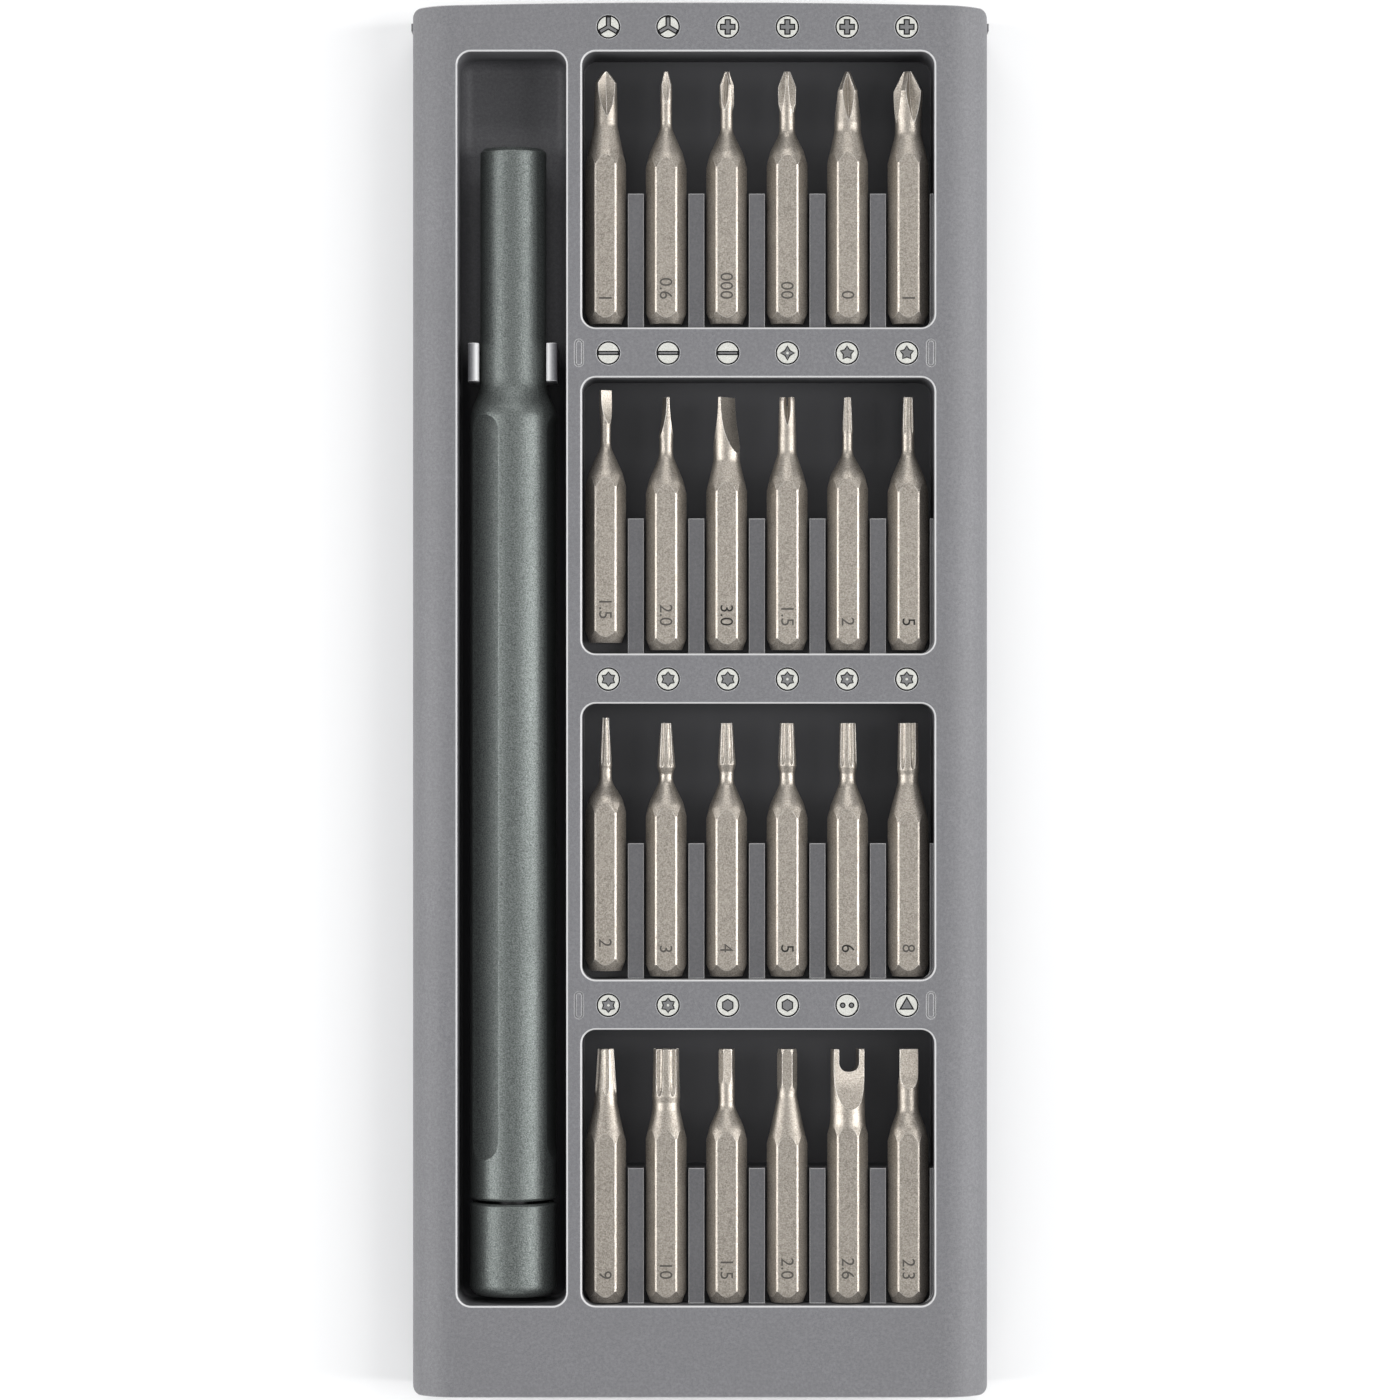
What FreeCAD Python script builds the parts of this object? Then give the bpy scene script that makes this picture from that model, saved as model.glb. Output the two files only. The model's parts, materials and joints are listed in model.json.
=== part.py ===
import FreeCAD, Part
import math
import os
import Sketcher

# Precision screwdriver set: a flat moulded tray that holds one driver and twenty-four double-pitch bits.
# Millimetres. Origin at the centre of the tray's underside, +X across the tray, +Y along it towards the
# driver's nose, +Z up. The driver and the bits lie along Y.

Vector = FreeCAD.Vector
Rotation = FreeCAD.Rotation
Placement = FreeCAD.Placement

SIZES = {
    # tray shell
    "tray_width": 63.8,
    "tray_length": 153.8,
    "tray_height": 14.0,
    "tray_edge_radius": 5.0,
    "tray_corner_radius": 1.0,
    "nose_end_bulge": 0.4,
    "rim_radius": 0.33,
    "outline_corner_radius": 1.5,
    "ear_width": 0.25,
    "ear_length": 0.8,
    "ear_offset": 74.9,
    "ear_bottom": 2.0,
    "ear_top": 8.0,
    # bit windows
    "row_pitch": 35.96,
    "window_left": -13.0,
    "window_width": 38.85,
    "window_length": 30.4,
    "window_nose_end": 71.5,
    "divider_top": 11.5,
    "divider_length": 14.95,
    "slot_floor": 9.0,
    "slot_width": 4.95,
    "right_rib": 0.4,
    "well_floor": 4.0,
    # bit places
    "bit_pitch": 6.7,
    "first_bit_x": -10.45,
    "first_tip_y": 69.6,
    "bit_row_pitch": 36.08,
    # shallow discs for the printed signs above each bit, and small oval marks at the ends of two strips
    "sign_pitch": 6.58,
    "first_sign_x": -10.1,
    "sign_above_window": 2.72,
    "sign_diameter": 2.62,
    "sign_depth": 0.1,
    "mark_width": 0.95,
    "mark_length": 3.0,
    "mark_line": 0.16,
    "mark_depth": 0.12,
    "mark_left_x": -13.35,
    "mark_right_x": 25.47,
    # underside
    "cover_thickness": 1.6,
    "cover_rim": 1.2,
    "cover_gap": 0.1,
    "cover_corner_radius": 1.0,
    "magnet_roof": 8.0,
    "magnet_thickness": 3.0,
    "magnet_length": 36.0,
    "magnet_width": 10.0,
    "magnet_gap": 0.15,
    "magnet_from_window_end": 2.0,
    "core_roof": 12.0,
    "core_wall": 1.2,
    # driver pocket and its clip
    "pocket_left": -26.76,
    "pocket_width": 12.0,
    "pocket_nose_end": 71.5,
    "pocket_length": 138.3,
    "pocket_floor": 3.8,
    "pocket_floor_radius": 1.4,
    "clip_y": 37.4,
    "clip_length": 4.2,
    "clip_gap": 0.06,
    "clip_finger": 1.2,
    "clip_finger_top": 12.2,
    "clip_finger_radius": 0.55,
    "clip_base_top": 4.9,
    # driver: every length is counted from the nose
    "driver_x": -20.75,
    "driver_nose_y": 61.2,
    "driver_axis_z": 8.65,
    "flat_turn": -43.0,
    "neck_diameter": 7.35,
    "nose_chamfer": 0.4,
    "neck_length": 26.7,
    "neck_fillet": 5.0,
    "grip_start": 29.2,
    "grip_fillet": 4.0,
    "grip_diameter": 9.6,
    "barrel_length": 116.6,
    "grip_edge": 0.25,
    "flat_start": 28.8,
    "flat_end": 112.8,
    "flat_depth": 0.45,
    "flat_runout": 4.4,
    "socket_diameter": 6.0,
    "socket_depth": 20.0,
    "socket_recess": 0.2,
    "socket_mouth": 0.3,
    "socket_across_flats": 4.06,
    "socket_magnet_diameter": 4.4,
    "socket_magnet_length": 4.0,
    "inner_gap": 0.02,
    # spin cap and its bearing
    "cap_start": 116.95,
    "driver_length": 127.3,
    "cap_end_radius": 1.2,
    "cap_bore_diameter": 8.0,
    "cap_end_wall": 1.6,
    "spindle_diameter": 3.0,
    "spindle_depth": 9.0,
    "spindle_head_diameter": 4.4,
    "spindle_head_length": 1.2,
    "bearing_start": 118.8,
    "bearing_length": 3.5,
    "bearing_inner_diameter": 4.4,
    "bearing_outer_bore": 6.5,
    "ball_diameter": 1.5,
    "ball_pitch_diameter": 5.45,
    "ball_groove_gap": 0.04,
    # everything common to the bits, counted from the tip
    "bit_length": 28.0,
    "bit_across_flats": 4.0,
    "bit_across_corners": 4.5,
    "bit_tail_diameter": 3.5,
    "bit_tail_length": 1.3,
    "neck_radius": 2.0,
    "arch_slope": 0.25,
    "arch_step": 0.14,
    "arch_radius": 3.0,
    "neck_shoulder_radius": 0.6,
    "turning_clearance": 3.0,
}

# One line for each bit, row by row from the nose end and from the driver outwards: what kind of tip it has,
# then its sizes in the order of BIT_DIMENSIONS. Widths are diameters and places are counted from the tip;
# turn is how far the first ground face is turned from straight up towards +X, and lift moves the bit along Y.
BIT_DIMENSIONS = ("tip", "shoulder", "shoulder_at", "land_end", "neck", "neck_start", "neck_end",
                  "hexagon_start", "turn", "lift")
BITS = (
    ("tri_wing_1", "tri_wing", 0.6, 2.5, 1.3, 1.9, 2.6, 5.2, 6.0, 9.3, 8, 0.0),
    ("tri_wing_0_6", "tri_wing", 0.5, 1.3, 1.5, 3.2, 1.25, 3.6, 6.3, 9.7, 0, 0.0),
    ("cross_000", "cross", 0.5, 1.65, 1.5, 3.5, 1.35, 4.3, 6.7, 9.7, -18, 0.0),
    ("cross_00", "cross", 0.7, 2.0, 1.7, 3.6, 1.7, 4.6, 6.9, 9.4, 42, 0.0),
    ("cross_0", "cross", 0.5, 2.45, 2.1, 2.4, 2.9, 5.7, 6.6, 9.1, 4, 0.0),
    ("cross_1", "cross", 1.0, 3.2, 2.2, 3.0, 2.85, 5.9, 7.0, 9.2, 25, 0.0),
    ("slot_1_5", "slot", 1.5, 1.5, 0.8, 1.6, 1.1, 4.3, 6.3, 9.7, 38, 0.8),
    ("slot_2_0", "slot", 2.0, 2.0, 0.8, 1.8, 1.5, 4.8, 6.5, 9.7, -77, 0.0),
    ("slot_3_0", "slot", 3.0, 3.0, 0.8, 4.0, 2.9, 6.3, 7.0, 9.4, 57, 0.0),
    ("crown_1_5", "crown", 1.8, 1.9, 0.4, 3.4, 2.0, 4.4, 6.2, 9.3, 0, 0.0),
    ("five_lobe_2", "five_lobe", 0.8, 1.2, 3.5, 3.8, 1.1, 4.1, 6.3, 9.1, 36, 0.0),
    ("five_lobe_5", "five_lobe", 1.1, 1.4, 3.7, 4.1, 1.35, 4.4, 6.3, 9.5, 36, 0.0),
    ("six_lobe_2", "six_lobe", 0.75, 1.4, 5.0, 5.3, 1.3, 5.6, 7.1, 9.5, 30, 0.6),
    ("six_lobe_3", "six_lobe", 1.25, 2.0, 4.5, 4.9, 1.5, 5.6, 6.5, 9.3, 30, 0.0),
    ("six_lobe_4", "six_lobe", 1.4, 2.0, 4.2, 4.6, 1.55, 5.4, 6.6, 9.6, 30, 0.0),
    ("six_lobe_pin_5", "six_lobe_pin", 1.6, 2.05, 4.3, 4.7, 1.65, 5.5, 6.8, 9.5, 30, 0.0),
    ("six_lobe_pin_6", "six_lobe_pin", 1.75, 2.0, 4.5, 4.9, 1.7, 5.6, 6.6, 9.6, 22, 0.0),
    ("six_lobe_pin_8", "six_lobe_pin", 2.25, 2.4, 4.8, 5.2, 2.2, 5.7, 6.6, 9.9, 27, 0.0),
    ("six_lobe_pin_9", "six_lobe_pin", 1.75, 2.4, 4.7, 5.1, 2.5, 5.5, 6.0, 9.3, 4, 0.0),
    ("six_lobe_pin_10", "six_lobe_pin", 2.9, 3.1, 5.0, 5.3, 2.95, 5.9, 6.6, 8.9, 30, 0.0),
    ("hexagon_1_5", "hexagon", 1.7, 1.8, 0.5, 3.4, 1.75, 3.9, 6.4, 9.1, 10, 0.0),
    ("hexagon_2_0", "hexagon", 2.0, 2.2, 0.6, 4.0, 2.1, 4.6, 5.2, 9.5, 0, 0.0),
    ("fork_2_6", "fork", 3.7, 3.75, 0.4, 5.6, 3.8, 6.8, 7.2, 8.5, 12, 0.0),
    ("triangle_2_3", "triangle", 2.36, 2.4, 0.4, 3.6, 2.25, 4.4, 6.7, 9.2, 8, 0.0),
)
BITS_PER_ROW = 6
ROWS = len(BITS) // BITS_PER_ROW
MARKED_STRIPS = (1, 3)

# Sizes of the ground ends, shared by each kind of tip. Each face or flute is milled straight from the tip
# and then runs out along the round of the wheel.
TIP_SIZES = {
    "flute_wheel": 10.0,
    "flute_wing": 0.16,
    "crown_wheel": 4.5,
    "crown_reach": 0.12,
    "crown_angle": 30.0,
    "crown_straight": 0.6,
    "blade_wheel": 14.0,
    "blade_straight": 0.3,
    "blade_half": 0.16,
    "lobe_wheel": 4.0,
    "lobe_groove": 0.135,
    "lobe_middle": 0.99,
    "face_wheel": 8.0,
    "hexagon_face": 0.87,
    "triangle_wheel": 4.0,
    "triangle_face": 0.53,
    "pin_hole": 0.3,
    "pin_hole_depth": 1.0,
    "fork_wheel": 9.0,
    "fork_half": 0.75,
    "fork_gap": 2.3,
    "fork_gap_depth": 2.5,
    "fork_gap_radius": 1.0,
}

os.makedirs("parts", exist_ok=True)
doc = FreeCAD.newDocument("PrecisionScrewdriverSet")
nodes = []


# Spreadsheets

def add_sheet(name, values):
    """Write one alias and its plain number on each line of a new spreadsheet."""
    sheet = doc.addObject("Spreadsheet::Sheet", name)
    for line, (alias, value) in enumerate(values.items(), start=1):
        sheet.set(f"A{line}", alias)
        sheet.set(f"B{line}", str(value))
        sheet.setAlias(f"B{line}", alias)


def bit_values():
    """Name every size of every bit as bit_size, such as cross_0_neck."""
    values = {}
    for name, kind, *sizes in BITS:
        for dimension, size in zip(BIT_DIMENSIONS, sizes):
            values[f"{name}_{dimension}"] = size
    return values


add_sheet("Sizes", SIZES)
add_sheet("Bits", bit_values())
add_sheet("Tips", TIP_SIZES)
doc.recompute()


# Sketches and features

def new_body(name, x="0", y="0", z="0", turn_about_y="0"):
    """Start a sub-part whose place is bound to the sheets."""
    body = doc.addObject("PartDesign::Body", name)
    body.Label = name
    body.setExpression("Placement.Base.x", x)
    body.setExpression("Placement.Base.y", y)
    body.setExpression("Placement.Base.z", z)
    body.Placement = Placement(Vector(), Rotation(Vector(0, 1, 0), 0))
    body.Placement.Rotation = Rotation(Vector(0, 1, 0), float(body.evalExpression(turn_about_y)))
    nodes.append(body)
    return body


def new_sketch(body, name, role, offset=None):
    """Attach a sketch to one of the body's own origin planes, moved along its normal by offset."""
    sketch = body.newObject("Sketcher::SketchObject", f"{body.Name}_{name}")
    plane = next(feature for feature in body.Origin.OriginFeatures if feature.Role == role)
    sketch.AttachmentSupport = [(plane, "")]
    sketch.MapMode = "FlatFace"
    if offset is not None:
        sketch.setExpression("AttachmentOffset.Base.z", offset)
    return sketch


def number(sketch, expression):
    return float(sketch.evalExpression(expression))


def bind(sketch, constraint, expression):
    index = sketch.addConstraint(constraint)
    sketch.setExpression(f"Constraints[{index}]", expression)


def pin(sketch, geometry, point, x, y):
    """Hold one point of the geometry at a place given by two expressions."""
    for kind, expression in (("DistanceX", x), ("DistanceY", y)):
        value = number(sketch, expression)
        bind(sketch, Sketcher.Constraint(kind, -1, 1, geometry, point, value), expression)


def add_circle(sketch, x, y, radius):
    centre = Vector(number(sketch, x), number(sketch, y), 0)
    circle = sketch.addGeometry(Part.Circle(centre, Vector(0, 0, 1), number(sketch, radius)))
    pin(sketch, circle, 3, x, y)
    bind(sketch, Sketcher.Constraint("Radius", circle, number(sketch, radius)), radius)


def add_outline(sketch, corners):
    """Draw a closed outline through (x, y) corners; a corner (x, y, radius) is rounded."""
    points = [Vector(number(sketch, corner[0]), number(sketch, corner[1]), 0) for corner in corners]
    count = len(points)
    starts = []
    ends = []
    arcs = []
    for index, corner in enumerate(corners):
        point = points[index]
        if len(corner) == 2:
            starts.append(point)
            ends.append(point)
            arcs.append(None)
            continue
        back = (points[index - 1] - point).normalize()
        onward = (points[(index + 1) % count] - point).normalize()
        radius = number(sketch, corner[2])
        half_angle = back.getAngle(onward) / 2
        reach = radius / math.tan(half_angle)
        start = point + back * reach
        end = point + onward * reach
        middle = point + (back + onward).normalize() * (radius / math.sin(half_angle) - radius)
        turns_left = back.cross(onward).z < 0
        path = (start, middle, end) if turns_left else (end, middle, start)
        arc = sketch.addGeometry(Part.Arc(*path))
        bind(sketch, Sketcher.Constraint("Radius", arc, radius), corner[2])
        starts.append(start)
        ends.append(end)
        arcs.append((arc, 1, 2) if turns_left else (arc, 2, 1))
    lines = []
    for index in range(count):
        following = (index + 1) % count
        lines.append(sketch.addGeometry(Part.LineSegment(ends[index], starts[following])))
    for index, corner in enumerate(corners):
        before = lines[index - 1]
        after = lines[index]
        if arcs[index] is None:
            sketch.addConstraint(Sketcher.Constraint("Coincident", before, 2, after, 1))
            pin(sketch, after, 1, corner[0], corner[1])
            continue
        arc, first, last = arcs[index]
        sketch.addConstraint(Sketcher.Constraint("Tangent", before, 2, arc, first))
        sketch.addConstraint(Sketcher.Constraint("Tangent", arc, last, after, 1))
        sharp = sketch.addGeometry(Part.Point(points[index]), True)
        pin(sketch, sharp, 1, corner[0], corner[1])
        sketch.addConstraint(Sketcher.Constraint("PointOnObject", sharp, 1, before))
        sketch.addConstraint(Sketcher.Constraint("PointOnObject", sharp, 1, after))


def add_rectangle(sketch, left, low, width, length, radius=None):
    right = f"({left}) + ({width})"
    high = f"({low}) + ({length})"
    corners = [(left, low), (right, low), (right, high), (left, high)]
    if radius is not None:
        corners = [corner + (radius,) for corner in corners]
    add_outline(sketch, corners)


def polygon_corners(sides, radius, first_angle=0):
    step = 360 / sides
    angles = [first_angle + step * index for index in range(sides)]
    return [(f"{radius} * cos({angle})", f"{radius} * sin({angle})") for angle in angles]


def pad(body, name, sketch, length, symmetric=False):
    feature = body.newObject("PartDesign::Pad", f"{body.Name}_{name}")
    feature.Profile = sketch
    feature.setExpression("Length", length)
    if symmetric:
        feature.SideType = "Symmetric"
    doc.recompute()
    return feature


def pocket(body, name, sketch, length, reverse=False, symmetric=False):
    """Cut a sketch into the body and make sure that it took something away."""
    before = body.Shape.Volume
    feature = body.newObject("PartDesign::Pocket", f"{body.Name}_{name}")
    feature.Profile = sketch
    feature.setExpression("Length", length)
    feature.Reversed = reverse
    if symmetric:
        feature.SideType = "Symmetric"
    doc.recompute()
    check_cut(feature, before)
    return feature


def check_cut(feature, volume_before):
    if feature.Shape.isNull() or feature.Shape.Volume >= volume_before:
        raise RuntimeError(f"{feature.Name} takes nothing away")


def turned(body, name, sketch, kind="Revolution"):
    """Turn a sketch of the XY plane about the body's Y axis."""
    feature = body.newObject(f"PartDesign::{kind}", f"{body.Name}_{name}")
    feature.Profile = sketch
    feature.ReferenceAxis = (sketch, ["V_Axis"])
    feature.Angle = 360
    doc.recompute()
    return feature


def repeat_around(body, name, feature, sketch, count):
    """Repeat a feature about the normal through the sketch's origin."""
    pattern = body.newObject("PartDesign::PolarPattern", f"{body.Name}_{name}")
    pattern.Originals = [feature]
    pattern.Axis = (sketch, ["N_Axis"])
    pattern.Angle = 360
    pattern.Occurrences = count
    body.Tip = pattern
    doc.recompute()
    return pattern


def round_edges(body, name, wanted, radius):
    """Fillet every edge of the body for which wanted(edge) is true."""
    base = body.Tip
    names = [f"Edge{place}" for place, edge in enumerate(base.Shape.Edges, start=1) if wanted(edge)]
    feature = body.newObject("PartDesign::Fillet", f"{body.Name}_{name}")
    feature.Base = (base, names)
    feature.setExpression("Radius", radius)
    doc.recompute()
    return feature


# Tray

def window_low(row):
    return f"Sizes.window_nose_end - Sizes.window_length - {row} * Sizes.row_pitch"


def make_tray_shell():
    shell = new_body("tray_shell")

    section = new_sketch(shell, "section", "XZ_Plane")
    add_outline(section, [
        ("-Sizes.tray_width / 2", "0"),
        ("Sizes.tray_width / 2", "0"),
        ("Sizes.tray_width / 2", "Sizes.tray_height", "Sizes.tray_edge_radius"),
        ("-Sizes.tray_width / 2", "Sizes.tray_height", "Sizes.tray_edge_radius"),
    ])
    pad(shell, "block", section, "Sizes.tray_length", symmetric=True)

    trim_plan_corners(shell)
    add_ears(shell)
    cut_windows(shell)
    cut_driver_pocket(shell)
    round_rims(shell)
    cut_marks(shell)
    cut_underside(shell)


def trim_plan_corners(shell):
    """Round the four corners seen from above and bow the nose end slightly outwards."""
    frame = new_sketch(shell, "plan", "XY_Plane", "Sizes.tray_height")
    add_rectangle(frame, "-Sizes.tray_width", "-Sizes.tray_length", "2 * Sizes.tray_width",
                  "2 * Sizes.tray_length")
    side = "Sizes.tray_width / 2"
    end = "Sizes.tray_length / 2"
    radius = "Sizes.tray_corner_radius"
    corner_y = f"{end} - Sizes.nose_end_bulge"
    chord = f"({side} - {radius})"
    bow_radius = f"(pow({chord}; 2) + pow(Sizes.nose_end_bulge; 2)) / (2 * Sizes.nose_end_bulge)"
    add_outline(frame, [
        (f"-{side}", f"-{end}", radius),
        (side, f"-{end}", radius),
        (side, corner_y, radius),
        ("0", f"{end} + Sizes.nose_end_bulge", bow_radius),
        (f"-{side}", corner_y, radius),
    ])
    pocket(shell, "plan_trim", frame, "Sizes.tray_height")


def add_ears(shell):
    ears = new_sketch(shell, "ears", "XY_Plane", "Sizes.ear_bottom")
    for side in (-1, 1):
        reach = "(Sizes.tray_width / 2 + Sizes.ear_width)"
        add_rectangle(ears, f"{min(side, 0)} * {reach} + {max(side, 0)} * ({reach} - 1)",
                      "Sizes.ear_offset - Sizes.ear_length / 2", "1", "Sizes.ear_length")
    pad(shell, "ears_up", ears, "Sizes.ear_top - Sizes.ear_bottom")


def cut_windows(shell):
    """Open each window down to the divider tops, then the slots and the deep well under the tips."""
    windows = new_sketch(shell, "windows", "XY_Plane", "Sizes.tray_height")
    wells = new_sketch(shell, "wells", "XY_Plane", "Sizes.tray_height")
    slots = new_sketch(shell, "slots", "XY_Plane", "Sizes.tray_height")
    radius = "Sizes.outline_corner_radius"
    for row in range(ROWS):
        low = window_low(row)
        add_rectangle(windows, "Sizes.window_left", low, "Sizes.window_width", "Sizes.window_length", radius)
        well_low = f"{low} + Sizes.divider_length"
        well_length = "Sizes.window_length - Sizes.divider_length"
        right = "Sizes.window_left + Sizes.window_width"
        high = f"{well_low} + {well_length}"
        add_outline(wells, [
            ("Sizes.window_left", well_low),
            (right, well_low),
            (right, high, radius),
            ("Sizes.window_left", high, radius),
        ])
        for column in range(BITS_PER_ROW):
            centre = f"Sizes.first_bit_x + {column} * Sizes.bit_pitch"
            slot_left = f"{centre} - Sizes.slot_width / 2"
            slot_right = f"{centre} + Sizes.slot_width / 2"
            left_corner = ()
            right_corner = ()
            if column == 0:
                slot_left = "Sizes.window_left"
                left_corner = (radius,)
            if column == BITS_PER_ROW - 1:
                slot_right = f"{right} - Sizes.right_rib"
                right_corner = (f"{radius} - Sizes.right_rib",)
            add_outline(slots, [
                (slot_left, low) + left_corner,
                (slot_right, low) + right_corner,
                (slot_right, well_low),
                (slot_left, well_low),
            ])
    pocket(shell, "windows_cut", windows, "Sizes.tray_height - Sizes.divider_top")
    pocket(shell, "slots_cut", slots, "Sizes.tray_height - Sizes.slot_floor")
    pocket(shell, "wells_cut", wells, "Sizes.tray_height - Sizes.well_floor")


def cut_driver_pocket(shell):
    outline = new_sketch(shell, "driver_pocket", "XY_Plane", "Sizes.tray_height")
    add_rectangle(outline, "Sizes.pocket_left", "Sizes.pocket_nose_end - Sizes.pocket_length",
                  "Sizes.pocket_width", "Sizes.pocket_length", "Sizes.outline_corner_radius")
    pocket(shell, "driver_pocket_cut", outline, "Sizes.tray_height - Sizes.pocket_floor")
    floor = SIZES["pocket_floor"]
    round_edges(shell, "driver_pocket_floor", lambda edge: lies_at(edge, floor), "Sizes.pocket_floor_radius")


def lies_at(edge, height):
    box = edge.BoundBox
    return abs(box.ZMin - height) < 1e-4 and abs(box.ZMax - height) < 1e-4


def round_rims(shell):
    """Soften the top rims of the windows and of the driver pocket."""
    top = SIZES["tray_height"]
    reach_x = SIZES["tray_width"] / 2 - SIZES["tray_edge_radius"]
    reach_y = SIZES["tray_length"] / 2 - 2 * SIZES["nose_end_bulge"]

    def is_rim(edge):
        box = edge.BoundBox
        along_side = max(abs(box.XMin), abs(box.XMax)) > reach_x + 0.2 or box.YLength > 150
        along_end = max(abs(box.YMin), abs(box.YMax)) > reach_y
        return lies_at(edge, top) and not along_side and not along_end

    round_edges(shell, "rims", is_rim, "Sizes.rim_radius")


def cut_marks(shell):
    """Sink a disc for each bit's sign, and the outline of a small oval at both ends of two strips."""
    signs = new_sketch(shell, "signs", "XY_Plane", "Sizes.tray_height")
    marks = new_sketch(shell, "marks", "XY_Plane", "Sizes.tray_height")
    for row in range(ROWS):
        y = f"Sizes.window_nose_end + Sizes.sign_above_window - {row} * Sizes.row_pitch"
        for column in range(BITS_PER_ROW):
            add_circle(signs, f"Sizes.first_sign_x + {column} * Sizes.sign_pitch", y, "Sizes.sign_diameter / 2")
        if row not in MARKED_STRIPS:
            continue
        for x in ("Sizes.mark_left_x", "Sizes.mark_right_x"):
            for inset in ("0", "Sizes.mark_line"):
                half = f"(Sizes.mark_width / 2 - {inset})"
                reach = "(Sizes.mark_length / 2 - Sizes.mark_width / 2)"
                add_oval(marks, x, y, half, reach)
    pocket(shell, "signs_cut", signs, "Sizes.sign_depth")
    pocket(shell, "marks_cut", marks, "Sizes.mark_depth")


def add_oval(sketch, x, y, half, reach):
    """Draw an oval with straight sides, 2 * half wide, whose end centres are reach from (x, y) along Y."""
    centre_x = number(sketch, x)
    centre_y = number(sketch, y)
    radius = number(sketch, half)
    straight = number(sketch, reach)
    left = centre_x - radius
    right = centre_x + radius
    low = centre_y - straight
    high = centre_y + straight
    pieces = [
        Part.LineSegment(Vector(right, low, 0), Vector(right, high, 0)),
        Part.Arc(Vector(right, high, 0), Vector(centre_x, high + radius, 0), Vector(left, high, 0)),
        Part.LineSegment(Vector(left, high, 0), Vector(left, low, 0)),
        Part.Arc(Vector(left, low, 0), Vector(centre_x, low - radius, 0), Vector(right, low, 0)),
    ]
    ring = [sketch.addGeometry(piece) for piece in pieces]
    for index, piece in enumerate(ring):
        sketch.addConstraint(Sketcher.Constraint("Tangent", ring[index - 1], 2, piece, 1))
    pin(sketch, ring[1], 3, x, f"{y} + {reach}")
    pin(sketch, ring[3], 3, x, f"{y} - {reach}")
    bind(sketch, Sketcher.Constraint("Radius", ring[1], radius), half)


def cut_underside(shell):
    """Cut the step for the base cover, the magnet recesses and the hollow cores of the strips."""
    step = new_sketch(shell, "cover_step", "XY_Plane")
    add_rectangle(step, "-Sizes.tray_width / 2 + Sizes.cover_rim", "-Sizes.tray_length / 2 + Sizes.cover_rim",
                  "Sizes.tray_width - 2 * Sizes.cover_rim",
                  "Sizes.tray_length - 2 * Sizes.cover_rim - Sizes.nose_end_bulge",
                  "Sizes.cover_corner_radius")
    pocket(shell, "cover_step_cut", step, "Sizes.cover_thickness", reverse=True)

    recesses = new_sketch(shell, "magnet_recesses", "XY_Plane")
    for row in range(ROWS):
        add_rectangle(recesses, f"{magnet_left()} - Sizes.magnet_gap", f"{magnet_low(row)} - Sizes.magnet_gap",
                      "Sizes.magnet_length + 2 * Sizes.magnet_gap", "Sizes.magnet_width + 2 * Sizes.magnet_gap")
    pocket(shell, "magnet_recesses_cut", recesses, "Sizes.magnet_roof", reverse=True)

    cores = new_sketch(shell, "cores", "XY_Plane")
    core_left = "Sizes.window_left"
    gap = "(Sizes.row_pitch - Sizes.window_length - 2 * Sizes.core_wall)"
    for row in range(ROWS - 1):
        low = f"{window_low(row)} - Sizes.core_wall - {gap}"
        add_rectangle(cores, core_left, low, "Sizes.window_width", gap)
    end_low = "-Sizes.tray_length / 2 + Sizes.cover_rim + Sizes.core_wall"
    last_low = window_low(ROWS - 1)
    add_rectangle(cores, core_left, end_low, "Sizes.window_width",
                  f"{last_low} - Sizes.core_wall - ({end_low})")
    pocket(shell, "cores_cut", cores, "Sizes.core_roof", reverse=True)


def magnet_left():
    return "Sizes.window_left + (Sizes.window_width - Sizes.magnet_length) / 2"


def magnet_low(row):
    return f"{window_low(row)} + Sizes.magnet_from_window_end"


def make_base_cover():
    cover = new_body("base_cover")
    plate = new_sketch(cover, "plate", "XY_Plane")
    inset = "(Sizes.cover_rim + Sizes.cover_gap)"
    add_rectangle(plate, f"-Sizes.tray_width / 2 + {inset}", f"-Sizes.tray_length / 2 + {inset}",
                  f"Sizes.tray_width - 2 * {inset}", f"Sizes.tray_length - 2 * {inset} - Sizes.nose_end_bulge",
                  "Sizes.cover_corner_radius")
    pad(cover, "plate_up", plate, "Sizes.cover_thickness")
    rests = new_sketch(cover, "magnet_rests", "XY_Plane")
    for row in range(ROWS):
        add_rectangle(rests, magnet_left(), magnet_low(row), "Sizes.magnet_length", "Sizes.magnet_width")
    pad(cover, "magnet_rests_up", rests, "Sizes.magnet_roof - Sizes.magnet_thickness")


def make_rack_magnet(row):
    magnet = new_body(f"rack_magnet_{row + 1}", z="Sizes.magnet_roof - Sizes.magnet_thickness")
    strip = new_sketch(magnet, "strip", "XY_Plane")
    add_rectangle(strip, magnet_left(), magnet_low(row), "Sizes.magnet_length", "Sizes.magnet_width")
    pad(magnet, "strip_up", strip, "Sizes.magnet_thickness")


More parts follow.
